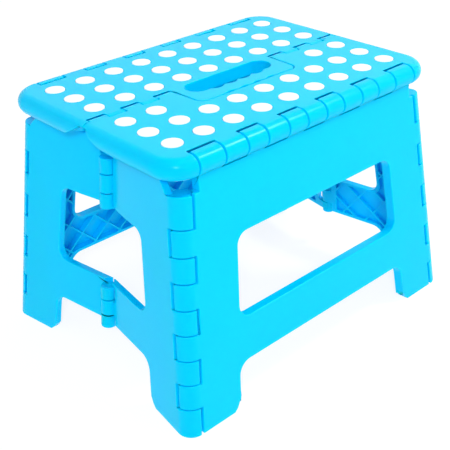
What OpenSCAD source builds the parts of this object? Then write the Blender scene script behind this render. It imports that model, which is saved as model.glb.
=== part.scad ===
// Folding stool: a two-part top, front and back leg panels, and two ends that fold inward.
// Every hinge is a row of alternating knuckles on a hidden pin.
// Millimetres, +Z up, +X to the right, +Y to the back, origin on the floor under the centre.

/* [Overall] */
// Height of the seat above the floor
seat_h = 225; // [218:1:235]
// Length of the top over its rounded ends
top_len = 297; // [290:1:310]
// Distance between the front and back edge hinge lines
hinge_gap = 197; // [192:1:204]
// Lean of the front and back panels, in degrees
lean = 6.5; // [5.5:0.25:7.5]
// Splay of the corner hinge lines, in degrees
splay = 6.2; // [5:0.1:7]
// Inward bow of each half of an end, in degrees
bow = 7.8; // [6:0.2:9]
// Depth below the edge hinges at which the halves of an end are measured
middle_level = 105; // [90:1:120]
// Angle that each half of the top turns through as the stool folds
fold = 75; // [70:1:78]
// Angle that each half of an end turns through as the stool folds
end_fold = 78.6; // [76:0.2:80]

/* [Top] */
// Radius of the full round along the edges, half the thickness of the top
edge_r = 9; // [8.5:0.25:10]
// Corner radius of the top in plan
plan_r = 26; // [20:1:32]
// Thickness of the skin over the cells under the top
top_skin = 3; // [2.5:0.25:4]
// Width of the rim round the cells under the top
top_rim = 12.5; // [12.5:0.5:16]
// Corner radius of the field of cells
cell_r = 14; // [10:1:16]
// Width of the seam between the halves outside the hinge
seam = 1; // [0.6:0.1:1.6]
// Distance from the seam to where the trimmed end reaches full depth
end_trim = 32; // [26:1:36]
// Width of the trimmed strip at each end of the seam
end_strip = 9.5; // [8.5:0.25:11]

/* [Grip dots] */
// Spacing of the dots along the top
dot_pitch = 30; // [27:0.5:32]
// Spacing of the rows of dots
row_pitch = 27.57; // [25:0.5:29]
// Distance of the first row from the centre line
first_row = 20.05; // [19:0.25:22]
// Number of dots in a full row
dot_columns = 9; // [7:2:9]
// Radius of a dot
dot_r = 8.2; // [6:0.1:9]
// Depth that a dot is set into the top
dot_seat = 1.2; // [0.8:0.1:1.5]
// Height that a dot stands above the top
dot_rise = 0.6; // [0.4:0.1:1]
// Chamfer round the face of a dot
dot_chamfer = 0.4; // [0.2:0.1:0.6]
// Width of the groove round a dot
dot_gap = 0.3; // [0.2:0.1:0.5]

/* [Hand-hold] */
// Half the width of the tongue at the centre line
tongue_half = 56; // [54:0.5:58]
// Distance that the tongue reaches in front of the centre line
tongue_reach = 33; // [30:0.5:36]
// Thickness of the tongue
tongue_t = 12; // [10:0.5:13]
// Corner radius of the tongue
tongue_r = 7; // [4:0.5:9]
// Half the length of the slot
slot_half = 46; // [40:0.5:47]
// Distance of the first finger of the centre hinge from the slot
slot_side = 2; // [1.5:0.5:2.5]
// Distance that the slot reaches in front of the centre line
slot_front = 16.6; // [14:0.2:18]
// Distance that the slot reaches behind the centre line
slot_back = 5; // [3:0.5:7]
// Spacing of the finger scallops
scallop_pitch = 15; // [12:0.5:17]
// Depth of the finger scallops
scallop_d = 3.1; // [2:0.1:4]
// Depth of the notches in the tongue's front edge
notch_d = 1.5; // [1:0.1:2]

/* [Panels] */
// Thickness of a leg panel
panel_t = 8.5; // [8:0.25:10]
// Thickness of an end panel
end_t = 6; // [5.5:0.25:8]
// Distance of a leg panel's face outside its edge hinge line
face_out = 3.6; // [3:0.1:4.4]
// Distance of a corner hinge line inside the end of the top, level with the edge hinges
corner_inset = 22.5; // [20:0.5:26]
// Distance of a leg panel's side above its corner notches from the corner hinge line
apron_inset = 5; // [4:0.5:7]
// Thickness of the skin over the cells of a panel
panel_skin = 2.5; // [2:0.25:3]
// Thickness of the wall round the cells
wall = 3; // [2:0.25:4]
// Thickness of the ribs between the cells
rib = 1.8; // [1.4:0.1:2.6]
// Spacing of the diagonal ribs
rib_pitch = 21; // [18:0.5:24]

/* [Leg panel openings] */
// Height of the lower edge of the rail
rail_h = 41.3; // [36:0.5:46]
// Height of the lower edge of the window
window_low = 79.5; // [74:0.5:84]
// Distance of the upper edge of the window below the seat
window_drop = 74.2; // [70:0.5:79]
// Distance of the window's upper corners from the corner hinge lines
window_side = 35.5; // [32:0.5:42]
// Distance of the window's lower corners from the corner hinge lines
window_side_low = 28.5; // [27:0.5:36]
// Distance of the legs' inner edges at the rail from the corner hinge lines
leg_w = 23.5; // [21:0.5:28]
// Distance of the legs' inner edges at the floor from the corner hinge lines
foot_w = 19; // [16:0.5:23]
// Corner radius of the windows
window_r = 11; // [6:0.5:14]
// Radius between a rail and its legs
arch_r = 12; // [6:0.5:15]
// Size of the cut at the inner corner of a foot
foot_r = 10; // [4:0.5:12]
// Share of that size by which the cut bends towards the corner
foot_bend = 0.3; // [0.25:0.05:0.4]

/* [End panel openings] */
// Width of an end panel's post, from the corner hinge line
post_w = 42; // [38:0.5:46]
// Height of the lower edge of the end rail
end_rail_h = 41; // [37:0.5:45]
// Height of the lower edge of the end window
end_window_low = 80.5; // [79:0.5:86]
// Distance of the upper edge of the end window below the seat
end_window_drop = 74.5; // [74:0.5:79]
// Gap between the end panels and the top
end_drop = 1.6; // [1.2:0.1:3]
// Distance of an end panel's top corner from the corner hinge line
shoulder = 9; // [7:0.5:12]

/* [Edge and centre hinges of the top] */
// Distance of the first leg panel knuckle from the centre
edge_first = 11.5; // [9:0.5:14]
// Spacing of the leg panel knuckles
edge_pitch = 43; // [41:0.5:45]
// Width of a leg panel knuckle
edge_knuckle = 19; // [16:0.5:22]
// Gap beside a leg panel knuckle
edge_gap = 1.6; // [1:0.1:2]
// Distance that the flat top of a leg panel knuckle reaches behind its hinge line
knuckle_flat = 3.2; // [2:0.1:3.4]
// Width of the slot behind that flat
edge_slot = 2.4; // [1.5:0.1:3]
// Radius of a leg panel knuckle under its flat
edge_inner_r = 6.5; // [6:0.25:7]
// Spacing of the fingers along the centre line
finger_pitch = 32.7; // [31:0.1:33.5]
// Width of a finger
finger_w = 15.6; // [14:0.2:17]
// Radius of the pins of the top
top_pin_r = 2.6; // [2:0.1:3]
// Distance of the ends of an edge pin inside the ends of the top
edge_pin_inset = 16.5; // [15:0.5:20]

/* [Corner hinges] */
// Radius of the knuckles at the corners
barrel_r = 12.5; // [12:0.25:13.5]
// Height that a corner knuckle stands above the panel faces beside it
knuckle_rise = 0.05; // [0.02:0.01:0.1]
// Radius of a knuckle where the other panel turns round it
inner_r = 8; // [7:0.25:9]
// Distance of the top of the highest end panel knuckle below the seat
end_knuckle_drop = 29.5; // [28:0.5:33]
// Distance of the top of the highest leg panel knuckle below the seat
leg_knuckle_drop = 56; // [53:0.5:58]
// Height of the top of the lowest leg panel knuckle
last_knuckle = 43.5; // [40:0.5:48]
// Length of a leg panel knuckle down a corner
corner_knuckle = 20.3; // [18:0.5:23]
// Width of the gap beside an end panel's knuckle
leg_gap = 2.3; // [1.5:0.1:3]
// Distance that a leg panel's knuckle stops short of the end panel's face
knuckle_back = 2.8; // [1:0.1:3]
// Distance of an end panel's edge behind the corner hinge line
end_gap = 0.5; // [0.3:0.1:1.5]
// Radius of the corner pins
corner_pin_r = 3; // [2.5:0.1:4]

/* [Centre hinges of the ends] */
// Radius of the knuckles at the middle of an end
end_barrel_r = 6.5; // [6.3:0.1:7]
// Distance of the top of the upper hinge below the seat
upper_drop = 33; // [31:0.5:37]
// Length of the upper hinge
upper_len = 44; // [42:0.5:46]
// Height of the top of the lower hinge
lower_top = 77; // [74:0.5:79]
// Height of the bottom of the lower hinge
lower_low = 37; // [35:0.5:40]
// Radius of the upper pin
upper_pin_r = 2; // [1.8:0.1:2.2]
// Radius of the lower pin
lower_pin_r = 1.5; // [1.3:0.1:1.6]
// Share of a hinge below its middle knuckle
knuckle_from = 0.31; // [0.28:0.01:0.35]
// Share of a hinge up to the top of its middle knuckle
knuckle_to = 0.68; // [0.65:0.01:0.72]
// Half the width of the notch over the upper hinge
notch_half = 8.5; // [7:0.5:10]

/* [Fits] */
// Radial clearance of a pin in its bore
pin_fit = 0.05; // [0.03:0.01:0.08]
// Room past each end of a pin
pin_play = 0.3; // [0.2:0.1:0.5]
// Distance of the ends of a pin inside its outer knuckles
pin_end = 3; // [2:0.5:4]
// Radial clearance round the knuckles of the top
top_clear = 1; // [0.8:0.1:1.2]
// Radial clearance between the rim of the top and a leg panel
rim_clear = 0.6; // [0.4:0.1:1]
// Radial clearance round the corner knuckles
corner_clear = 0.9; // [0.6:0.1:1.2]
// Clearance over and under a leg panel's corner knuckle
corner_gap = 0.5; // [0.3:0.1:0.8]
// Gap between neighbouring knuckles
side_gap = 1; // [0.6:0.1:1.4]
// Clearance round the tongue
tongue_clear = 1.2; // [0.9:0.1:1.6]
// Depth that the outer faces of an end are relieved at the middle
closing_relief = 1.2; // [0.8:0.1:1.6]
// Sideways play of the upper pin in the back half of an end
upper_play = 2; // [1.8:0.1:2.2]
// Radial clearance round the knuckles of the upper hinge
upper_clear = 0.8; // [0.7:0.1:1]
// Sideways play of the lower pin in the back half of an end
lower_play = 3.9; // [3.8:0.05:4]

/* [Hidden] */
$fn = 48;

arc_steps = 8;
// Step between the pieces of a knuckle, so that no two of them end in one plane
nest = 0.05;
big = 500;
plastic = [0, 0.85, 1];
white = [0.96, 0.98, 1];
pin_grey = [0.75, 0.77, 0.8];

// Widths that follow the top
corner_x = top_len / 2 - corner_inset;
apron_half = corner_x - apron_inset;
window_half = corner_x - window_side;
window_foot = corner_x - window_side_low;
arch_half = corner_x - leg_w;
arch_foot = corner_x - foot_w;

// Hinge lines and their frames
hinge_y = hinge_gap / 2;
hinge_z = seat_h - edge_r;
corner_in = barrel_r - face_out;
corner_drop = sin(splay) / cos(splay);
apex_up = (hinge_y - corner_in * cos(lean)) / (cos(splay) * sin(lean));
ref_up = -middle_level / cos(splay);
end_len = (hinge_y / cos(lean) - corner_in - barrel_r * sin(bow)
    - tan(lean) * (ref_up * cos(splay) + barrel_r * cos(bow) * sin(splay)))
    / (cos(bow) - sin(bow) * sin(splay) * tan(lean));
middle_vector = [barrel_r, -end_len, apex_up - ref_up];

// Heights that follow the seat
window_top = seat_h - window_drop;
end_window_top = seat_h - end_window_drop;
corner_top = seat_h - end_knuckle_drop;
corner_first = seat_h - leg_knuckle_drop;
corner_pitch = (corner_first - last_knuckle) / 3;
upper_top = seat_h - upper_drop;
upper_low = upper_top - upper_len;

// Plan of the top
top_half_x = top_len / 2;
top_half_y = hinge_y + edge_r;
edge_clear_r = edge_r + top_clear;
edge_pin_half = top_half_x - edge_pin_inset;
finger_first = tongue_half + tongue_clear;
finger_end = finger_first + 2 * finger_pitch + finger_w;
strip_x = top_half_x - end_strip;
scallop_r = (pow(scallop_pitch / 2, 2) + pow(scallop_d, 2)) / (2 * scallop_d);

// Height above the floor of a point in an end half's frame
function level(x, y, up) = hinge_z - sin(lean) * (corner_in - x * sin(bow) + y * cos(bow))
    + cos(lean) * (up * cos(splay) - (x * cos(bow) + y * sin(bow)) * sin(splay));

// Distances up an end half's face, a corner hinge line and a middle hinge line
function rise(y, z) = (z - level(-barrel_r, y, 0)) / (cos(lean) * cos(splay));
function corner_up(z) = (z - level(0, 0, 0)) / (cos(lean) * cos(splay));
middle_rate = (level(0, 0, apex_up) - level(-barrel_r, end_len, ref_up)) / norm(middle_vector);
function middle_up(z) = (z - level(-barrel_r, end_len, ref_up)) / middle_rate;

// Distance up a leg panel's face to a height above the floor
function up(z) = (z - hinge_z - face_out * sin(lean)) / cos(lean);

// Distance of the middle hinge line from the corner hinge line, in the plane of an end half
function middle_y(up) = end_len * (apex_up - up) / (apex_up - ref_up);

// An outline with its corners rounded
function unit(v) = v / norm(v);
function arc(centre, from, to) =
    let (start = atan2(from[1], from[0]),
        turn = (atan2(to[1], to[0]) - start + 540) % 360 - 180,
        r = norm(from))
    [for (k = [0:arc_steps]) centre + r * [cos(start + turn * k / arc_steps), sin(start + turn * k / arc_steps)]];
function corner(a, b, c, r) =
    let (u = unit(a - b), w = unit(c - b), half = acos(u * w) / 2,
        centre = b + unit(u + w) * r / sin(half), reach = r / tan(half))
    r == 0 ? [b] : arc(centre, b + u * reach - centre, b + w * reach - centre);
function rounded(points, radii) =
    let (n = len(points))
    [for (i = [0:n - 1]) each corner(points[(i + n - 1) % n], points[i], points[(i + 1) % n], radii[i])];

// Frames of the hinge lines, at the left front
module front_frame() translate([0, -hinge_y, hinge_z]) rotate([-lean, 0, 0]) children();
module corner_frame() front_frame() translate([-corner_x, corner_in, 0]) rotate([0, splay, 0]) children();
module end_frame() corner_frame() rotate([0, 0, -bow]) children();
module middle_frame()
    end_frame() translate([-barrel_r, end_len, ref_up])
        rotate([asin(end_len / norm(middle_vector)), atan(barrel_r / (apex_up - ref_up)), 0]) children();

// A round bar along a hinge line, and one along X
module bar(low, high, r) translate([0, 0, low]) cylinder(r = r, h = high - low);
module rod(left, right, r) translate([left, 0, 0]) rotate([0, 90, 0]) cylinder(r = r, h = right - left);
module both_sides() {
    children();
    mirror([1, 0, 0]) children();
}

// Cells between diagonal ribs, over a rectangle
module cells(width, depth) {
    side = rib_pitch - rib;
    step = rib_pitch * sqrt(2);
    columns = ceil(width / step);
    rows = ceil(depth / step);
    for (i = [-columns:columns], j = [-rows:rows])
        if ((i + j) % 2 == 0)
            translate([i * step / 2, j * step / 2]) rotate(45) square(side, center = true);
}

// Top: a plate with a fully rounded edge
module top_plan(inset) {
    x = top_half_x - inset;
    y = top_half_y - inset;
    polygon(rounded([[-x, -y], [x, -y], [x, y], [-x, y]], [for (i = [0:3]) plan_r - inset]));
}
module slab_corner() {
    translate([top_half_x - plan_r, top_half_y - plan_r, 0])
        rotate_extrude(angle = 90) {
            translate([0, -edge_r]) square([plan_r - edge_r, 2 * edge_r]);
            translate([plan_r - edge_r, 0]) circle(edge_r);
        }
}
module slab() {
    x = top_half_x - plan_r;
    y = top_half_y - plan_r;
    translate([-x, -hinge_y, -edge_r]) cube([2 * x, 2 * hinge_y, 2 * edge_r]);
    translate([edge_r - top_half_x, -y, -edge_r]) cube([2 * (top_half_x - edge_r), 2 * y, 2 * edge_r]);
    for (m = [0, 1]) mirror([0, m, 0]) {
        translate([0, -hinge_y, 0]) rod(-x, x, edge_r);
        both_sides() slab_corner();
    }
    both_sides() translate([top_half_x - edge_r, y, 0]) rotate([90, 0, 0]) cylinder(r = edge_r, h = 2 * y);
}

// Curve under the trimmed ends of a half: shares of its length, and heights over the middle of the plate
trim_share = [0.12, 0.35, 0.6, 1];
trim_rise = edge_r * [0.7, 0.17, -0.33, -0.95];

// Spans of the fingers, of the gaps between them and of the leg panels' knuckles, to the right
finger_spans = [for (k = [0:2]) [finger_first + k * finger_pitch, finger_first + k * finger_pitch + finger_w]];
gap_spans = [[slot_half + slot_side, finger_spans[0][0] - side_gap],
    for (k = [0:1]) [finger_spans[k][1] + side_gap, finger_spans[k + 1][0] - side_gap]];
edge_spans = [for (k = [0:2]) [edge_first + k * edge_pitch,
    k == 2 ? apron_half : edge_first + k * edge_pitch + edge_knuckle]];
top_pin_span = [slot_half + 2 * slot_side, finger_end + side_gap + pin_end / 2];

// Rods over spans on both sides of the centre
module rods(spans, r, grow = 0)
    both_sides() for (span = spans) rod(span[0] - grow, span[1] + grow, r);

// One half of the top, front of the centre line, before its cuts
module half_plate() {
    slope = tan(90 - fold);
    difference() {
        slab();
        translate([-big / 2, -seam / 2, -edge_r - 1]) cube([big, big, 3 * edge_r]);
        rotate([90, 0, 90]) translate([0, 0, -big / 2]) linear_extrude(big)
            polygon([[1, seam], [1, -edge_r - 1], [-(edge_r + 1 + seam) / slope, -edge_r - 1], [0, seam / 2]]);
        both_sides() translate([strip_x, 0, 0]) rotate([90, 0, 90]) linear_extrude(2 * end_strip)
            polygon([[1, trim_rise[0]], for (i = [0:3]) [-end_trim * trim_share[i], trim_rise[i]],
                [-end_trim, -edge_r - 1], [1, -edge_r - 1]]);
    }
}
module half_cells() {
    x = top_half_x - top_rim;
    y = tongue_reach + tongue_clear + wall;
    translate([0, 0, -edge_r - 1]) linear_extrude(2 * edge_r + 1 - top_skin) intersection() {
        polygon(rounded([[-x, -hinge_y + top_rim], [x, -hinge_y + top_rim], [x, -y], [-x, -y]],
            [cell_r, cell_r, wall, wall]));
        translate([0, -hinge_y / 2]) cells(top_len, hinge_y);
    }
}
module edge_cuts() translate([0, -hinge_y, 0]) {
    rods(edge_spans, edge_clear_r, edge_gap);
    both_sides() for (span = edge_spans)
        translate([span[0] - edge_gap, 0, 0])
            cube([span[1] - span[0] + 2 * edge_gap, knuckle_flat + edge_slot, edge_r + 1]);
    rod(-edge_pin_half - pin_play, edge_pin_half + pin_play, top_pin_r + pin_fit);
}
module top_pin_bores() rods([top_pin_span], top_pin_r + pin_fit, pin_play);

// Grip dots, the same for a recess and for a dot
function dot_rows(back) = [for (row = [0:2], i = [0:dot_columns - 1])
    let (x = (i - (dot_columns - 1) / 2) * dot_pitch)
    if (back || row > 0 || abs(x) > tongue_half + dot_r + tongue_clear) [x, first_row + row * row_pitch]];
module dot_places(back)
    for (p = dot_rows(back)) translate([p[0], back ? p[1] : -p[1], edge_r - dot_seat]) children();
module dots(back) color(white) translate([0, 0, hinge_z]) dot_places(back) {
    cylinder(r = dot_r, h = dot_seat + dot_rise - dot_chamfer);
    translate([0, 0, dot_seat + dot_rise - dot_chamfer])
        cylinder(r1 = dot_r, r2 = dot_r - dot_chamfer, h = dot_chamfer);
}
module dot_recesses(back) dot_places(back) cylinder(r = dot_r + dot_gap, h = dot_seat + 1);

// Tongue of the hand-hold, in plan
module tongue_plan(grow) {
    x = tongue_half + grow;
    y = tongue_reach + grow;
    polygon(rounded([[x, seam + edge_r], [-x, seam + edge_r], [2 - x, -y], [x - 2, -y]],
        [0, 0, tongue_r + grow, tongue_r + grow]));
}
module slot_plan() {
    r = (slot_front + slot_back) / 2;
    polygon(rounded([[-slot_half, -slot_front], [slot_half, -slot_front], [slot_half, slot_back],
        [-slot_half, slot_back]], [for (i = [0:3]) r - 0.1]));
    for (i = [-1.5:1.5]) translate([i * scallop_pitch, scallop_r - slot_front - scallop_d]) circle(scallop_r);
}
module tongue_notches()
    for (i = [-1.5:1.5])
        translate([i * scallop_pitch, notch_d - tongue_reach - scallop_pitch / 2]) circle(scallop_pitch / 2);

module front_top_panel() color(plastic) translate([0, 0, hinge_z]) difference() {
    union() {
        difference() {
            half_plate();
            rods(gap_spans, edge_clear_r, side_gap);
            translate([0, 0, -edge_r - 1]) linear_extrude(2 * edge_r + 2) tongue_plan(tongue_clear);
        }
        rods(finger_spans, edge_r);
    }
    half_cells();
    edge_cuts();
    top_pin_bores();
    dot_recesses(false);
}
module back_top_panel() color(plastic) translate([0, 0, hinge_z]) difference() {
    union() {
        difference() {
            union() {
                mirror([0, 1, 0]) half_plate();
                translate([0, 0, edge_r - tongue_t]) linear_extrude(tongue_t) difference() {
                    tongue_plan(0);
                    tongue_notches();
                }
            }
            rods(finger_spans, edge_clear_r, side_gap);
        }
        rods(gap_spans, edge_r);
    }
    translate([0, 0, -edge_r - 1]) linear_extrude(2 * edge_r + 2) slot_plan();
    mirror([0, 1, 0]) {
        half_cells();
        edge_cuts();
    }
    top_pin_bores();
    dot_recesses(true);
}

// Leg panel, at the front
leg_knuckles = [for (k = [0:3]) [corner_first - k * corner_pitch - corner_knuckle, corner_first - k * corner_pitch]];
end_knuckles = [[leg_knuckles[0][1], corner_top], for (k = [1:3]) [leg_knuckles[k][1], leg_knuckles[k - 1][0]],
    [-wall, leg_knuckles[3][0]]];
function edge_x(v) = corner_x - v * corner_drop;
panel_top = -edge_r;
notch_up = up(corner_top + 1);
floor_up = up(-wall);
module leg_outline() {
    difference() {
        polygon(rounded([[apron_half, panel_top], [apron_half, notch_up], [edge_x(notch_up), notch_up],
            [edge_x(floor_up), floor_up], [arch_foot, floor_up], [arch_half, up(rail_h)],
            [-arch_half, up(rail_h)], [-arch_foot, floor_up], [-edge_x(floor_up), floor_up],
            [-edge_x(notch_up), notch_up], [-apron_half, notch_up], [-apron_half, panel_top]],
            [0, 0, 0, 0, 0, arch_r, arch_r, 0, 0, 0, 0, 0]));
        leg_window(0);
    }
}
module leg_window(grow)
    polygon(rounded([[-window_half - grow, up(window_top) + grow], [window_half + grow, up(window_top) + grow],
        [window_foot + grow, up(window_low) - grow], [-window_foot - grow, up(window_low) - grow]],
        [for (i = [0:3]) window_r + grow]));
module leg_cells() {
    side = barrel_r + wall;
    foot = up(wall);
    top = -edge_clear_r - wall;
    intersection() {
        difference() {
            polygon(rounded([[edge_x(top) - side, top], [edge_x(foot) - side, foot], [arch_foot + wall, foot],
                [arch_half + wall, up(rail_h) + wall], [-arch_half - wall, up(rail_h) + wall],
                [-arch_foot - wall, foot], [side - edge_x(foot), foot], [side - edge_x(top), top]],
                [0, 0, foot_r, arch_r, arch_r, foot_r, 0, 0]));
            leg_window(wall);
        }
        translate([0, -seat_h / 2]) cells(2 * corner_x, seat_h);
    }
}
module upright(from, depth) translate([0, from + depth, 0]) rotate([90, 0, 0]) linear_extrude(depth) children();
module foot_corner()
    both_sides() polygon([[arch_foot - 1, up(foot_r)], [arch_foot - 1, floor_up], [arch_foot + foot_r, floor_up],
        [arch_foot + foot_bend * foot_r, up(foot_bend * foot_r)]]);
// Knuckles at a corner, cut back on the side where the other panel turns round them
module end_barrel(low, high) {
    difference() {
        bar(low, high, barrel_r + knuckle_rise);
        translate([0, -big / 2, low - 1]) cube([big, big, high - low + 2]);
    }
    bar(low, high, inner_r);
}
module end_barrel_room(low, high) {
    bar(low, high, inner_r + corner_clear);
    translate([-big, -big / 2, low]) cube([big + leg_gap, big, high - low]);
}
module leg_barrel(low, high) {
    difference() {
        bar(low, high, barrel_r + knuckle_rise);
        rotate(-bow) translate([-big / 2, -knuckle_back, low - 1]) cube([big, big, high - low + 2]);
    }
    bar(low, high, inner_r);
}
module leg_barrel_room(low, high) bar(low, high, inner_r + corner_clear);

// Knuckles along the top edge, flat on top and cut back where the top turns round them
module edge_frame() translate([0, -hinge_y, hinge_z]) children();
module edge_barrel(span) {
    difference() {
        rod(span[0], span[1], edge_r);
        translate([span[0] - 1, 0, -big / 2]) cube([span[1] - span[0] + 2, big, big]);
    }
    translate([span[0] + nest, 0, 0]) cube([span[1] - span[0] - 2 * nest, knuckle_flat, edge_r]);
    rod(span[0] + 2 * nest, span[1] - 2 * nest, edge_inner_r);
}
module leg_panel() color(plastic) difference() {
    union() {
        difference() {
            front_frame() upright(-face_out, panel_t) leg_outline();
            front_frame() rod(-big / 2, big / 2, edge_r + rim_clear);
            edge_frame() translate([-big / 2, 0, -edge_clear_r]) cube(big);
            both_sides() corner_frame() for (span = end_knuckles)
                end_barrel_room(corner_up(span[0]), corner_up(span[1]));
        }
        both_sides() for (span = edge_spans) {
            edge_frame() edge_barrel(span);
            front_frame() translate([span[0] + 3 * nest, -face_out, -edge_clear_r - wall])
                cube([span[1] - span[0] - 6 * nest, 2 * face_out, edge_clear_r - top_pin_r + nest]);
        }
        both_sides() corner_frame() for (span = leg_knuckles)
            leg_barrel(corner_up(span[0]), corner_up(span[1]));
    }
    front_frame() {
        upright(-face_out + panel_skin, panel_t) leg_cells();
        upright(-face_out - 1, panel_t + 2) foot_corner();
        rod(-big / 2, big / 2, top_pin_r + pin_fit);
    }
    both_sides() corner_frame() bar(corner_pin_low - pin_play, 0, corner_pin_r + pin_fit);
    below_floor();
}
module below_floor() translate([-big / 2, -big / 2, -big]) cube(big);
module front_leg_panel() leg_panel();
module back_leg_panel() mirror([0, 1, 0]) leg_panel();

// End halves. The back half of each middle hinge has the outer knuckles, the front half the one between.
function thirds(low, high) = [low + knuckle_from * (high - low), low + knuckle_to * (high - low)];
upper_mid = thirds(upper_low, upper_top);
lower_mid = thirds(lower_low, lower_top);
end_top = seat_h - 2 * edge_r - end_drop;
function middle_edge(z) = let (y = middle_y(rise(end_len, z)) - seam / 2) [y, rise(y, z)];
function face_point(y, z) = [y, rise(y, z)];
module end_outline(inset) {
    polygon(rounded([face_point(end_gap + inset, -wall + 2 * inset), face_point(end_gap + inset, corner_top - inset),
        face_point(shoulder, end_top - inset), middle_edge(end_top - inset) - [inset, 0],
        middle_edge(end_window_top + inset) - [inset, 0], face_point(post_w - inset, end_window_top + inset),
        face_point(post_w - inset, end_window_low - inset), middle_edge(end_window_low - inset) - [inset, 0],
        middle_edge(end_rail_h + inset) - [inset, 0], face_point(post_w - inset, end_rail_h + inset),
        face_point(post_w - inset, -wall + 2 * inset)],
        [0, 0, 0, 0, 0, window_r - 1, window_r - 1, 0, 0, arch_r, inset > 0 ? foot_r : 0]));
}
module along_x(from, depth) translate([from, 0, 0]) rotate([90, 0, 90]) linear_extrude(depth) children();
module end_cells() {
    side = barrel_r + wall;
    middle = [end_barrel_r + lower_play + wall, 0];
    intersection() {
        end_outline(wall);
        polygon([face_point(side, -wall), middle_edge(-wall) - middle, middle_edge(end_top) - middle,
            face_point(side, end_top)]);
        translate([end_len / 2, -seat_h / 2]) cells(end_len, seat_h);
    }
}
// The two halves of an end close flat against each other, so their outer faces are relieved at the middle
module closing_face() {
    reach = end_len / 2;
    lost = reach * tan(90 - end_fold - bow);
    translate([0, 0, -big / 2]) linear_extrude(big)
        polygon([[closing_relief, 1], [closing_relief, 0], [closing_relief - lost, -reach], [-barrel_r, -reach],
            [-barrel_r, 1]]);
}
module foot_cut() polygon([face_point(post_w + 1, foot_r), face_point(post_w + 1, -wall),
    face_point(post_w - foot_r, -wall), face_point(post_w - foot_bend * foot_r, foot_bend * foot_r)]);
module end_half(own, others, upper_bore, lower_bore) color(plastic) difference() {
    union() {
        difference() {
            end_frame() along_x(-barrel_r, end_t) difference() {
                end_outline(0);
                foot_cut();
            }
            corner_frame() for (span = leg_knuckles)
                leg_barrel_room(corner_up(span[0]) - corner_gap, corner_up(span[1]) + corner_gap);
            middle_frame() {
                for (span = others)
                    bar(middle_up(span[0]) - side_gap / 2, middle_up(span[1]) + side_gap / 2, end_barrel_r + span[2]);
                bar(middle_up(upper_top), middle_up(seat_h), notch_half);
                bar(middle_up(lower_top), middle_up(end_window_top) - side_gap, lower_play + seam);
                closing_face();
            }
        }
        corner_frame() for (span = end_knuckles)
            end_barrel(corner_up(span[0]) + side_gap, corner_up(span[1]) - side_gap);
        middle_frame() for (span = own)
            bar(middle_up(span[0]) + side_gap / 2, middle_up(span[1]) - side_gap / 2, end_barrel_r);
    }
    end_frame() along_x(-barrel_r + panel_skin, end_t) end_cells();
    corner_frame() bar(corner_pin_low - pin_play, corner_pin_high + pin_play, corner_pin_r + pin_fit);
    middle_frame() {
        bar(upper_pin_span[0] - pin_play, upper_pin_span[1] + pin_play, upper_bore);
        bar(lower_pin_span[0] - pin_play, lower_pin_span[1] + pin_play, lower_bore);
    }
    below_floor();
}
corner_pin_low = corner_up(2 * pin_end);
corner_pin_high = corner_up(corner_top - pin_end);
upper_pin_span = [middle_up(upper_low + pin_end), middle_up(upper_top - pin_end)];
lower_pin_span = [middle_up(lower_low + pin_end), middle_up(lower_top - pin_end)];
front_knuckles = [[upper_mid[0], upper_mid[1], upper_clear], [lower_mid[0], lower_mid[1], lower_play]];
back_knuckles = [[upper_low, upper_mid[0], upper_clear], [upper_mid[1], upper_top, upper_clear],
    [lower_low, lower_mid[0], lower_play], [lower_mid[1], lower_top, lower_play]];
module front_end_half() end_half(front_knuckles, back_knuckles, upper_pin_r + pin_fit, lower_pin_r + pin_fit);
module back_end_half() mirror([0, 1, 0])
    end_half(back_knuckles, front_knuckles, upper_pin_r + upper_play, lower_pin_r + lower_play);
module left_front_end() front_end_half();
module left_back_end() back_end_half();
module right_front_end() mirror([1, 0, 0]) front_end_half();
module right_back_end() mirror([1, 0, 0]) back_end_half();

module front_grip_dots() dots(false);
module back_grip_dots() dots(true);

// Pins
module edge_pin() color(pin_grey) translate([0, -hinge_y, hinge_z]) rod(-edge_pin_half, edge_pin_half, top_pin_r);
module front_edge_pin() edge_pin();
module back_edge_pin() mirror([0, 1, 0]) edge_pin();
module right_top_pin() color(pin_grey) translate([0, 0, hinge_z]) rod(top_pin_span[0], top_pin_span[1], top_pin_r);
module left_top_pin() mirror([1, 0, 0]) right_top_pin();
module left_front_corner_pin() color(pin_grey) corner_frame() bar(corner_pin_low, corner_pin_high, corner_pin_r);
module left_back_corner_pin() mirror([0, 1, 0]) left_front_corner_pin();
module right_front_corner_pin() mirror([1, 0, 0]) left_front_corner_pin();
module right_back_corner_pin() mirror([1, 0, 0]) left_back_corner_pin();
module left_upper_end_pin() color(pin_grey) middle_frame() bar(upper_pin_span[0], upper_pin_span[1], upper_pin_r);
module left_lower_end_pin() color(pin_grey) middle_frame() bar(lower_pin_span[0], lower_pin_span[1], lower_pin_r);
module right_upper_end_pin() mirror([1, 0, 0]) left_upper_end_pin();
module right_lower_end_pin() mirror([1, 0, 0]) left_lower_end_pin();

front_top_panel();
back_top_panel();
front_leg_panel();
back_leg_panel();
left_front_end();
left_back_end();
right_front_end();
right_back_end();
front_grip_dots();
back_grip_dots();
front_edge_pin();
back_edge_pin();
left_top_pin();
right_top_pin();
left_front_corner_pin();
left_back_corner_pin();
right_front_corner_pin();
right_back_corner_pin();
left_upper_end_pin();
left_lower_end_pin();
right_upper_end_pin();
right_lower_end_pin();
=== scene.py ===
"""Folding stool of moulded plastic: panels with eased edges, grip dots, hinge pins and a studio."""

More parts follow.
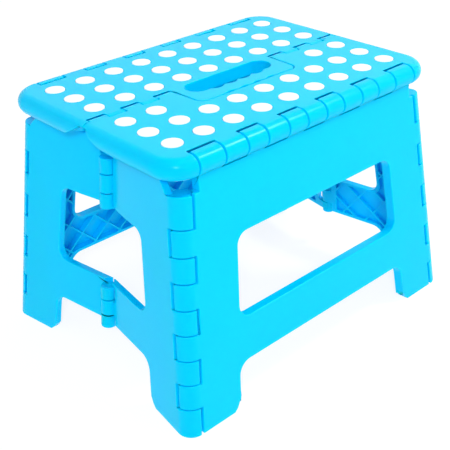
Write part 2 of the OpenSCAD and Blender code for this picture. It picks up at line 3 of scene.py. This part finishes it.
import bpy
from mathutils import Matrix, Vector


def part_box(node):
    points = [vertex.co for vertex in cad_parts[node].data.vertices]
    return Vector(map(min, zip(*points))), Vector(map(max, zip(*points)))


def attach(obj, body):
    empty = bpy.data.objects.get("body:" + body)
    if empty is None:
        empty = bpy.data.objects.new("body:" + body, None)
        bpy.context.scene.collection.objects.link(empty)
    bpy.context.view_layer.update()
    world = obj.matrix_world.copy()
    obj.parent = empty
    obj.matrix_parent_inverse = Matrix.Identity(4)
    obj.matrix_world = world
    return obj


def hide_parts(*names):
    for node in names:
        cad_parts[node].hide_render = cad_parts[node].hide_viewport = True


bl_info = {
    "name": "Folding stool",
    "version": (1, 0, 0),
    "blender": (4, 5, 0),
    "location": "View3D > Sidebar > Stool",
    "description": "Dresses a folding stool with moulded plastic panels, grip dots and hinge pins",
    "category": "Object",
}

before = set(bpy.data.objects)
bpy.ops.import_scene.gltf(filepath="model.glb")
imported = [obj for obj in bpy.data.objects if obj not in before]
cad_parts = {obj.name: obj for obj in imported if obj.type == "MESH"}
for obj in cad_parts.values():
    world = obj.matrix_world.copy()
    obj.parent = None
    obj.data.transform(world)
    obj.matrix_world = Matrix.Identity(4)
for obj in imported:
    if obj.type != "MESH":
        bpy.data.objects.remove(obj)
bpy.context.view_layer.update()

import math

import bmesh
import bpy
from mathutils import Matrix, Vector
from mathutils.bvhtree import BVHTree

MM = 0.001

# Sizes of the stool that the edges and the dots are placed by
_, TOP_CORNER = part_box("front_top_panel")
SEAT_Z = TOP_CORNER.z
HINGE_Y = 98.5 * MM
HINGE_Z = SEAT_Z - 9 * MM
LEAN = math.radians(6.5)
SPLAY = math.radians(6.2)
BOW = math.radians(7.8)
FACE_OUT = 3.6 * MM
CORNER_X = 126 * MM
BARREL_R = 12.5 * MM
HAND_HOLD_REACH = 66 * MM

# Where edges are eased: in the outer skin, along the rim and the seam, and round the hinges
SKIN = 2.2 * MM
TOP_SKIN = 2.5 * MM
RIM = 9 * MM
SEAM_REACH = 36 * MM
HINGE_REACH = 10 * MM
CORNER_REACH = BARREL_R + 1 * MM

# Where the seam runs out over the round end of the top, edges are eased by this share
ROUND_END_X = 138.6 * MM
ROUND_END_Y = 7 * MM
ROUND_END_SHARE = 0.3

# How a mesh is welded and its edges are told apart; a stray vertex lies that share of a width off
WELD = 0.003 * MM
FLAT_ANGLE = math.radians(0.3)
SHARP_ANGLE = math.radians(24)
STRAY = 0.5

LEG_PANELS = {"front_leg_panel": "front_leg", "back_leg_panel": "back_leg"}
END_PANELS = {"left_front_end": "left_front", "left_back_end": "left_back",
              "right_front_end": "right_front", "right_back_end": "right_back"}
TOP_PANELS = {"front_top_panel": "front_top", "back_top_panel": "back_top"}


class StoolPlasticSettings(bpy.types.PropertyGroup):
    colour: bpy.props.FloatVectorProperty(
        name="Panel colour", description="Colour of the moulded panels",
        subtype="COLOR", size=3, min=0, max=1, default=(0.0, 0.58, 1.0))
    roughness: bpy.props.FloatProperty(
        name="Roughness", description="Roughness of the moulded skin", min=0, max=1, default=0.2)
    grain: bpy.props.FloatProperty(
        name="Grain", description="Strength of the fine moulded grain", min=0, max=1, default=0.12)
    depth: bpy.props.FloatProperty(
        name="Light depth", description="Scale of the way that light travels inside the plastic",
        subtype="DISTANCE", min=0, max=0.02, default=0.003)
    edge: bpy.props.FloatProperty(
        name="Edge radius", description="Radius of the eased edges of the panels",
        subtype="DISTANCE", min=0.0001, max=0.002, default=0.0007)


class StoolDotSettings(bpy.types.PropertyGroup):
    columns: bpy.props.IntProperty(
        name="Columns", description="Dots in a full row", min=3, max=15, default=9)
    pitch: bpy.props.FloatProperty(
        name="Column spacing", description="Spacing of the dots along the top",
        subtype="DISTANCE", default=0.030)
    row_pitch: bpy.props.FloatProperty(
        name="Row spacing", description="Spacing of the rows", subtype="DISTANCE", default=0.02757)
    first_row: bpy.props.FloatProperty(
        name="First row", description="Distance of the first row from the centre line",
        subtype="DISTANCE", default=0.02005)
    radius: bpy.props.FloatProperty(
        name="Radius", description="Radius of a dot", subtype="DISTANCE", default=0.0082)
    rise: bpy.props.FloatProperty(
        name="Rise", description="Height of a dot above the top",
        subtype="DISTANCE", default=0.0006)
    seat: bpy.props.FloatProperty(
        name="Seat", description="Depth of a dot's foot in the top",
        subtype="DISTANCE", default=0.0012)
    colour: bpy.props.FloatVectorProperty(
        name="Dot colour", description="Colour of the grip dots",
        subtype="COLOR", size=3, min=0, max=1, default=(0.93, 0.95, 0.96))


class StoolStageSettings(bpy.types.PropertyGroup):
    world: bpy.props.FloatProperty(
        name="Soft light", description="Strength of the even light from all round", default=0.576)
    key: bpy.props.FloatProperty(
        name="Key light", description="Power of the lamp on the camera's side",
        subtype="POWER", default=13.0)
    rim: bpy.props.FloatProperty(
        name="Rim light", description="Power of the lamp that lights up the front edge",
        subtype="POWER", default=12.5)
    lens: bpy.props.FloatProperty(
        name="Lens", description="Focal length of the camera in millimetres", default=70.4)


# Materials

CLOUD_SCALE, FLOW_SCALE, GRAIN_SCALE = 14, 55, 900
FLOW_DEPTH, GRAIN_DEPTH = 0.4 * MM, 0.12 * MM
NOISE_LOW, NOISE_HIGH = 0.3, 0.7
CLOUD_SHADE = 0.965
SMOOTHER, ROUGHER = 0.04, 0.05
PIN_COLOUR = (0.42, 0.44, 0.47)


def new_material(name):
    material = bpy.data.materials.new(name)
    material.use_nodes = True
    nodes = material.node_tree.nodes
    nodes.clear()
    output = nodes.new("ShaderNodeOutputMaterial")
    shader = nodes.new("ShaderNodeBsdfPrincipled")
    material.node_tree.links.new(shader.outputs[0], output.inputs["Surface"])
    return material, shader


def noise(material, scale, detail):
    nodes, links = material.node_tree.nodes, material.node_tree.links
    place = nodes.get("Place") or nodes.new("ShaderNodeTexCoord")
    place.name = "Place"
    texture = nodes.new("ShaderNodeTexNoise")
    texture.inputs["Scale"].default_value = scale
    texture.inputs["Detail"].default_value = detail
    links.new(place.outputs["Object"], texture.inputs["Vector"])
    return texture.outputs["Fac"]


def span(material, value, low, high):
    node = material.node_tree.nodes.new("ShaderNodeMapRange")
    node.inputs["To Min"].default_value = low
    node.inputs["To Max"].default_value = high
    node.inputs["From Min"].default_value = NOISE_LOW
    node.inputs["From Max"].default_value = NOISE_HIGH
    material.node_tree.links.new(value, node.inputs["Value"])
    return node.outputs["Result"]


def shade_colour(material, value, dark, light):
    node = material.node_tree.nodes.new("ShaderNodeMix")
    node.data_type = "RGBA"
    node.inputs["A"].default_value = (*dark, 1)
    node.inputs["B"].default_value = (*light, 1)
    material.node_tree.links.new(value, node.inputs["Factor"])
    return node.outputs["Result"]


def grain_bump(material, shader, heights, strength):
    """Stacks bumps, each given by its height field and its depth."""
    nodes, links = material.node_tree.nodes, material.node_tree.links
    normal = None
    for value, depth in heights:
        bump = nodes.new("ShaderNodeBump")
        bump.inputs["Strength"].default_value = strength
        bump.inputs["Distance"].default_value = depth
        links.new(value, bump.inputs["Height"])
        if normal:
            links.new(normal, bump.inputs["Normal"])
        normal = bump.outputs["Normal"]
    links.new(normal, shader.inputs["Normal"])


def moulded_plastic(name, colour, roughness, grain, glow=None):
    """Satin plastic with a slight cloudiness; glow scales how far light travels inside it."""
    material, shader = new_material(name)
    links = material.node_tree.links
    cloud = noise(material, CLOUD_SCALE, 3)
    fine = noise(material, GRAIN_SCALE, 2)
    flow = noise(material, FLOW_SCALE, 2)
    dark = tuple(c * CLOUD_SHADE for c in colour)
    links.new(shade_colour(material, cloud, dark, colour), shader.inputs["Base Color"])
    satin = span(material, flow, roughness - SMOOTHER, roughness + ROUGHER)
    links.new(satin, shader.inputs["Roughness"])
    shader.inputs["IOR"].default_value = 1.46
    shader.inputs["Specular IOR Level"].default_value = 0.1
    if glow:
        shader.inputs["Specular Tint"].default_value = (0.4, 0.9, 1, 1)
        shader.inputs["Subsurface Weight"].default_value = 1.0
        shader.inputs["Subsurface Radius"].default_value = (0.5, 0.7, 0.75)
        shader.inputs["Subsurface Scale"].default_value = glow
    grain_bump(material, shader, [(fine, GRAIN_DEPTH), (flow, FLOW_DEPTH)], grain)
    return material


# Meshes

def merged_copy(node, name):
    """A copy of a CAD node's mesh, welded and with its flat faces whole again."""
    bm = bmesh.new()
    bm.from_mesh(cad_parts[node].data)
    bmesh.ops.remove_doubles(bm, verts=bm.verts, dist=WELD)
    bmesh.ops.dissolve_limit(
        bm, angle_limit=FLAT_ANGLE, verts=bm.verts, edges=bm.edges, delimit=set())
    mesh = bpy.data.meshes.new(name)
    bm.to_mesh(mesh)
    bm.free()
    for layer in [a for a in mesh.attributes if a.name in ("custom_normal", "sharp_face")]:
        mesh.attributes.remove(layer)
    piece = bpy.data.objects.new(name, mesh)
    bpy.context.scene.collection.objects.link(piece)
    return piece


def ease_edges(piece, share, width):
    """Rounds each sharp edge by the width times the share for its middle; flats stay flat."""
    bm = bmesh.new()
    bm.from_mesh(piece.data)
    solid = BVHTree.FromBMesh(bm)
    weights = bm.edges.layers.float.new("bevel_weight_edge")
    for face in bm.faces:
        face.smooth = True
    for edge in bm.edges:
        closed = len(edge.link_faces) == 2
        sharp = not closed or edge.calc_face_angle() > SHARP_ANGLE
        edge.smooth = not sharp
        if sharp and closed:
            middle = (edge.verts[0].co + edge.verts[1].co) / 2
            edge[weights] = share(middle)
            edge.smooth = edge[weights] > 0
    bm.to_mesh(piece.data)
    bm.free()
    bevel = piece.modifiers.new("Eased edges", "BEVEL")
    bevel.width = width
    bevel.segments = 3
    bevel.limit_method = "WEIGHT"
    bevel.use_clamp_overlap = False
    bevel.loop_slide = False
    bevel.miter_outer = "MITER_ARC"
    plain_mesh(piece)
    draw_in_strays(piece, solid, STRAY * width)
    weighted = piece.modifiers.new("Flat faces", "WEIGHTED_NORMAL")
    weighted.keep_sharp = True
    weighted.weight = 80
    plain_mesh(piece)


def draw_in_strays(piece, solid, limit):
    """Puts vertices that the bevel threw further than the limit back on the solid's surface."""
    for vertex in piece.data.vertices:
        near, _, _, gap = solid.find_nearest(vertex.co)
        if gap > limit:
            vertex.co = near


def plain_mesh(piece):
    """Turns the evaluated piece into a plain mesh, without modifiers."""
    graph = bpy.context.evaluated_depsgraph_get()
    mesh = bpy.data.meshes.new_from_object(piece.evaluated_get(graph), depsgraph=graph)
    piece.modifiers.clear()
    old = piece.data
    piece.data = mesh
    mesh.name = piece.name
    bpy.data.meshes.remove(old)


def finish_with(piece, material):
    piece.data.materials.clear()
    piece.data.materials.append(bpy.data.materials[material])


def dress(piece, node, body, material):
    """Puts a finished piece in its node's place, on its body."""
    finish_with(piece, material)
    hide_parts(node)
    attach(piece, body)


def make_panels(panels, share, edge):
    """Makes the shell of each panel, with eased edges."""
    for node, body in panels.items():
        piece = merged_copy(node, node.removesuffix("_panel") + "_shell")
        ease_edges(piece, share, edge)
        dress(piece, node, body, "Moulded cyan")


def leg_depth(point):
    """Depth of a point behind the outer face of a leg panel."""
    out = abs(point.y) - HINGE_Y
    down = HINGE_Z - point.z
    return FACE_OUT - (out * math.cos(LEAN) - down * math.sin(LEAN))


# Takes a point of the stool to the left front end's own frame, on its corner hinge line
END_FRAME = (Matrix.Translation((0, -HINGE_Y, HINGE_Z)) @ Matrix.Rotation(-LEAN, 4, "X")
             @ Matrix.Translation((-CORNER_X, BARREL_R - FACE_OUT, 0))
             @ Matrix.Rotation(SPLAY, 4, "Y") @ Matrix.Rotation(-BOW, 4, "Z")).inverted()


def end_depth(point):
    """Depth behind the outer face of an end panel, and distance from its corner hinge line."""
    local = END_FRAME @ Vector((-abs(point.x), -abs(point.y), point.z))
    return local.x + BARREL_R, math.hypot(local.x, local.y)


def leg_edge_share(point):
    """Eases a leg panel's edges in its outer skin and round its hinges, not on its ribs."""
    at_corner = end_depth(point)[1] < CORNER_REACH
    at_top = point.z > HINGE_Z - HINGE_REACH
    return float(leg_depth(point) < SKIN or at_corner or at_top)


def end_edge_share(point):
    """Eases an end panel's edges in its outer skin and round its corner hinge, not on its ribs."""
    depth, reach = end_depth(point)
    return float(depth < SKIN or reach < CORNER_REACH)


def top_edge_share(point):
    """Eases the top's edges but those of its ribs, and less where the seam meets the rim."""
    x, y = abs(point.x), abs(point.y)
    within = x < TOP_CORNER.x - RIM and SEAM_REACH < y < HINGE_Y - RIM
    if within and point.z < SEAT_Z - TOP_SKIN:
        return 0.0
    return ROUND_END_SHARE if x > ROUND_END_X and y < ROUND_END_Y else 1.0


# Grip dots

DOME_SEGMENTS, DOME_RINGS = 40, 20
DOME_FULLNESS = 0.6
FOOT_STEEPNESS = 12


def dot_tree(material):
    """Geometry nodes for three rows of low domes with a flat foot, on one half of the top."""
    tree = bpy.data.node_groups.new("Grip dots", "GeometryNodeTree")
    for name, kind in (("Columns", "Int"), ("Pitch", "Float"), ("Row pitch", "Float"),
                       ("Middle row", "Float"), ("Height", "Float"), ("Radius", "Float"),
                       ("Rise", "Float"), ("Seat", "Float"), ("Clear of hand-hold", "Float"),
                       ("Row limit", "Float")):
        tree.interface.new_socket(name=name, in_out="INPUT", socket_type=f"NodeSocket{kind}")
    tree.interface.new_socket(name="Geometry", in_out="OUTPUT", socket_type="NodeSocketGeometry")
    given = tree.nodes.new("NodeGroupInput").outputs
    add = tree.nodes.new
    link = tree.links.new

    def maths(operation, a, b=None):
        node = add("ShaderNodeMath")
        node.operation = operation
        for socket, value in zip(node.inputs, (a, b)):
            if isinstance(value, (int, float)):
                socket.default_value = value
            elif value is not None:
                link(value, socket)
        return node.outputs[0]

    grid = add("GeometryNodeMeshGrid")
    spaces = maths("SUBTRACT", given["Columns"], 1)
    link(maths("MULTIPLY", spaces, given["Pitch"]), grid.inputs["Size X"])
    link(maths("MULTIPLY", given["Row pitch"], 2), grid.inputs["Size Y"])
    link(given["Columns"], grid.inputs["Vertices X"])
    grid.inputs["Vertices Y"].default_value = 3
    place = add("ShaderNodeCombineXYZ")
    link(given["Middle row"], place.inputs["Y"])
    link(given["Height"], place.inputs["Z"])
    moved = add("GeometryNodeSetPosition")
    link(grid.outputs["Mesh"], moved.inputs["Geometry"])
    link(place.outputs[0], moved.inputs["Offset"])

    where = add("GeometryNodeInputPosition")
    parts = add("ShaderNodeSeparateXYZ")
    link(where.outputs[0], parts.inputs[0])
    near = maths("LESS_THAN", maths("ABSOLUTE", parts.outputs["X"]), given["Clear of hand-hold"])
    inner = maths("LESS_THAN", maths("ABSOLUTE", parts.outputs["Y"]), given["Row limit"])
    cut = add("GeometryNodeDeleteGeometry")
    link(moved.outputs[0], cut.inputs["Geometry"])
    link(maths("MULTIPLY", near, inner), cut.inputs["Selection"])

    ball = add("GeometryNodeMeshUVSphere")
    ball.inputs["Segments"].default_value = DOME_SEGMENTS
    ball.inputs["Rings"].default_value = DOME_RINGS
    link(given["Radius"], ball.inputs["Radius"])
    spot = add("GeometryNodeInputPosition")
    axes = add("ShaderNodeSeparateXYZ")
    link(spot.outputs[0], axes.inputs[0])
    share = maths("DIVIDE", maths("ABSOLUTE", axes.outputs["Z"]), given["Radius"])
    above = maths("GREATER_THAN", axes.outputs["Z"], 0)
    curve = maths("POWER", share, DOME_FULLNESS)
    swell = maths("MULTIPLY", maths("MULTIPLY", curve, given["Rise"]), above)
    side = maths("MINIMUM", maths("MULTIPLY", share, FOOT_STEEPNESS), 1)
    sink = maths("MULTIPLY", side, given["Seat"])
    lift = maths("SUBTRACT", swell, maths("MULTIPLY", sink, maths("SUBTRACT", 1, above)))
    shape = add("ShaderNodeCombineXYZ")
    link(axes.outputs["X"], shape.inputs["X"])
    link(axes.outputs["Y"], shape.inputs["Y"])
    link(lift, shape.inputs["Z"])
    dome = add("GeometryNodeSetPosition")
    link(ball.outputs["Mesh"], dome.inputs["Geometry"])
    link(shape.outputs[0], dome.inputs["Position"])
    smooth = add("GeometryNodeSetShadeSmooth")
    link(dome.outputs[0], smooth.inputs["Geometry"])

    copies = add("GeometryNodeInstanceOnPoints")
    link(cut.outputs[0], copies.inputs["Points"])
    link(smooth.outputs[0], copies.inputs["Instance"])
    whole = add("GeometryNodeRealizeInstances")
    link(copies.outputs[0], whole.inputs[0])
    finish = add("GeometryNodeSetMaterial")
    finish.inputs["Material"].default_value = material
    link(whole.outputs[0], finish.inputs["Geometry"])
    link(finish.outputs[0], add("NodeGroupOutput").inputs[0])
    return tree


def set_inputs(modifier, values):
    """Sets a modifier's inputs by their names in its tree."""
    sockets = {s.name: s.identifier for s in modifier.node_group.interface.items_tree
               if s.in_out == "INPUT"}
    for name, value in values.items():
        modifier[sockets[name]] = value


# Operators

class STOOL_OT_leg_panels(bpy.types.Operator):
    """Makes the front and back leg panels with eased edges"""
    bl_idname = "stool.leg_panels"
    bl_label = "Leg panels"

    def execute(self, context):
        make_panels(LEG_PANELS, leg_edge_share, context.scene.stool_plastic.edge)
        return {"FINISHED"}


class STOOL_OT_end_panels(bpy.types.Operator):
    """Makes the four halves of the folding ends with eased edges"""
    bl_idname = "stool.end_panels"
    bl_label = "End panels"

    def execute(self, context):
        make_panels(END_PANELS, end_edge_share, context.scene.stool_plastic.edge)
        return {"FINISHED"}


class STOOL_OT_top_panels(bpy.types.Operator):
    """Makes the two halves of the top with eased edges"""
    bl_idname = "stool.top_panels"
    bl_label = "Top panels"

    def execute(self, context):
        make_panels(TOP_PANELS, top_edge_share, context.scene.stool_plastic.edge)
        return {"FINISHED"}


class STOOL_OT_grip_dots(bpy.types.Operator):
    """Makes the white grip dots of both halves of the top"""
    bl_idname = "stool.grip_dots"
    bl_label = "Grip dots"

    def execute(self, context):
        dots = context.scene.stool_dots
        tree = dot_tree(bpy.data.materials["Grip white"])
        for side, body in ((-1, "front_top"), (1, "back_top")):
            name = body.replace("_top", "_grip_domes")
            piece = bpy.data.objects.new(name, bpy.data.meshes.new(name))
            context.scene.collection.objects.link(piece)
            modifier = piece.modifiers.new("Grip dots", "NODES")
            modifier.node_group = tree
            set_inputs(modifier, {
                "Columns": dots.columns, "Pitch": dots.pitch, "Row pitch": dots.row_pitch,
                "Middle row": side * (dots.first_row + dots.row_pitch), "Height": SEAT_Z,
                "Radius": dots.radius, "Rise": dots.rise, "Seat": dots.seat,
                "Clear of hand-hold": HAND_HOLD_REACH if side < 0 else 0.0,
                "Row limit": dots.first_row + dots.row_pitch / 2})
            plain_mesh(piece)
            dress(piece, body.replace("_top", "_grip_dots"), body, "Grip white")
        return {"FINISHED"}


class STOOL_OT_pins(bpy.types.Operator):
    """Gives the hinge pins their smooth grey finish"""
    bl_idname = "stool.pins"
    bl_label = "Hinge pins"

    def execute(self, context):
        for node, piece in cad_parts.items():
            if node.endswith("_pin"):
                finish_with(piece, "Pin grey")
        return {"FINISHED"}


class STOOL_OT_finishes(bpy.types.Operator):
    """Makes the plastic finishes"""
    bl_idname = "stool.finishes"
    bl_label = "Finishes"

    def execute(self, context):
        plastic = context.scene.stool_plastic
        moulded_plastic(
            "Moulded cyan", tuple(plastic.colour), plastic.roughness, plastic.grain, plastic.depth)
        moulded_plastic("Grip white", tuple(context.scene.stool_dots.colour), 0.42, 0.15)
        moulded_plastic("Pin grey", PIN_COLOUR, 0.4, 0.1)
        return {"FINISHED"}


# Stage

FLOOR_SIZE = 8
FLOOR_LIGHT, FLOOR_SHADE = 0.86, 0.2
KEY_PLACE, KEY_TARGET, KEY_SIZE = (-0.95, -1.05, 1.05), (0, 0, 0.12), 0.25
RIM_PLACE, RIM_TARGET, RIM_SIZE = (0.87, -0.55, 1.33), (0, -0.1, 0.2), 0.28
CAMERA_PLACE = (-0.47615, -0.52527, 0.48735)
CAMERA_AZIMUTH, CAMERA_ELEVATION, CAMERA_ROLL = -41.91, 30.06, -1.92


def light_table(own_light, diffuse):
    """A white floor with its own light; its faint diffuse part keeps the stool's shadow."""
    material = bpy.data.materials.new("White floor")
    material.use_nodes = True
    nodes, links = material.node_tree.nodes, material.node_tree.links
    nodes.clear()
    output = nodes.new("ShaderNodeOutputMaterial")
    matt = nodes.new("ShaderNodeBsdfDiffuse")
    matt.inputs["Color"].default_value = (diffuse, diffuse, diffuse, 1)
    glow = nodes.new("ShaderNodeEmission")
    glow.inputs["Strength"].default_value = own_light
    both = nodes.new("ShaderNodeAddShader")
    links.new(matt.outputs[0], both.inputs[0])
    links.new(glow.outputs[0], both.inputs[1])
    links.new(both.outputs[0], output.inputs["Surface"])
    return material


def white_world(strength):
    """Even light of the given strength, in front of a background that looks white."""
    world = bpy.data.worlds.new("Studio")
    bpy.context.scene.world = world
    world.use_nodes = True
    nodes, links = world.node_tree.nodes, world.node_tree.links
    nodes.clear()
    output = nodes.new("ShaderNodeOutputWorld")
    path = nodes.new("ShaderNodeLightPath")
    soft, clear = (nodes.new("ShaderNodeBackground") for _ in range(2))
    for background, level in ((soft, strength), (clear, 1.0)):
        background.inputs["Color"].default_value = (1, 1, 1, 1)
        background.inputs["Strength"].default_value = level
    seen = path.outputs["Is Camera Ray"]
    for ray in ("Is Glossy Ray", "Is Transmission Ray"):
        either = nodes.new("ShaderNodeMath")
        either.operation = "MAXIMUM"
        links.new(seen, either.inputs[0])
        links.new(path.outputs[ray], either.inputs[1])
        seen = either.outputs[0]
    mix = nodes.new("ShaderNodeMixShader")
    links.new(seen, mix.inputs["Fac"])
    links.new(soft.outputs[0], mix.inputs[1])
    links.new(clear.outputs[0], mix.inputs[2])
    links.new(mix.outputs[0], output.inputs["Surface"])


def lamp(name, place, target, size, power):
    light = bpy.data.lights.new(name, "AREA")
    light.shape = "DISK"
    light.size = size
    light.energy = power
    holder = bpy.data.objects.new(name, light)
    holder.location = place
    holder.rotation_euler = (Vector(target) - Vector(place)).to_track_quat("-Z", "Y").to_euler()
    bpy.context.scene.collection.objects.link(holder)


def camera_matrix(azimuth, elevation, roll, place):
    """The camera's matrix from angles in degrees; azimuth 0 looks along +Y from the front."""
    a, e, r = (math.radians(v) for v in (azimuth, elevation, roll))
    back = Vector((math.sin(a) * math.cos(e), -math.cos(a) * math.cos(e), math.sin(e)))
    right = Vector((math.cos(a), math.sin(a), 0))
    up = back.cross(right)
    across = right * math.cos(r) + up * math.sin(r)
    upright = up * math.cos(r) - right * math.sin(r)
    turn = Matrix((across, upright, back)).transposed().to_4x4()
    return Matrix.Translation(place) @ turn


class STOOL_OT_stage(bpy.types.Operator):
    """Makes the floor, the lamps, the soft light and the camera"""
    bl_idname = "stool.stage"
    bl_label = "Studio"

    def execute(self, context):
        scene = context.scene
        settings = scene.stool_stage
        bpy.ops.mesh.primitive_plane_add(size=FLOOR_SIZE)
        floor = context.object
        floor.name = "Floor"
        floor.data.materials.append(light_table(FLOOR_LIGHT, FLOOR_SHADE))
        white_world(settings.world)
        lamp("Key", KEY_PLACE, KEY_TARGET, KEY_SIZE, settings.key)
        lamp("Rim", RIM_PLACE, RIM_TARGET, RIM_SIZE, settings.rim)
        data = bpy.data.cameras.new("Camera")
        data.sensor_width = 36
        data.lens = settings.lens
        camera = bpy.data.objects.new("Camera", data)
        camera.matrix_world = camera_matrix(
            CAMERA_AZIMUTH, CAMERA_ELEVATION, CAMERA_ROLL, CAMERA_PLACE)
        scene.collection.objects.link(camera)
        scene.camera = camera
        scene.view_settings.view_transform = "Standard"
        return {"FINISHED"}


class STOOL_PT_sidebar(bpy.types.Panel):
    """Lists the stool's pieces and their settings"""
    bl_label = "Folding stool"
    bl_space_type = "VIEW_3D"
    bl_region_type = "UI"
    bl_category = "Stool"

    def draw(self, context):
        for setting in SETTINGS:
            group = getattr(context.scene, setting)
            box = self.layout.box()
            for name in group.__annotations__:
                box.prop(group, name)
        for operator in STEPS:
            self.layout.operator(operator.bl_idname)


STEPS = (STOOL_OT_finishes, STOOL_OT_leg_panels, STOOL_OT_end_panels, STOOL_OT_top_panels,
         STOOL_OT_grip_dots, STOOL_OT_pins, STOOL_OT_stage)
SETTINGS = {"stool_plastic": StoolPlasticSettings, "stool_dots": StoolDotSettings,
            "stool_stage": StoolStageSettings}


def register():
    for name, group in SETTINGS.items():
        bpy.utils.register_class(group)
        setattr(bpy.types.Scene, name, bpy.props.PointerProperty(type=group))
    for item in STEPS + (STOOL_PT_sidebar,):
        bpy.utils.register_class(item)


def unregister():
    for item in reversed(STEPS + (STOOL_PT_sidebar,)):
        bpy.utils.unregister_class(item)
    for name, group in SETTINGS.items():
        delattr(bpy.types.Scene, name)
        bpy.utils.unregister_class(group)


def main():
    register()
    for operator in STEPS:
        group, name = operator.bl_idname.split(".")
        getattr(getattr(bpy.ops, group), name)()


if __name__ == "__main__":
    main()
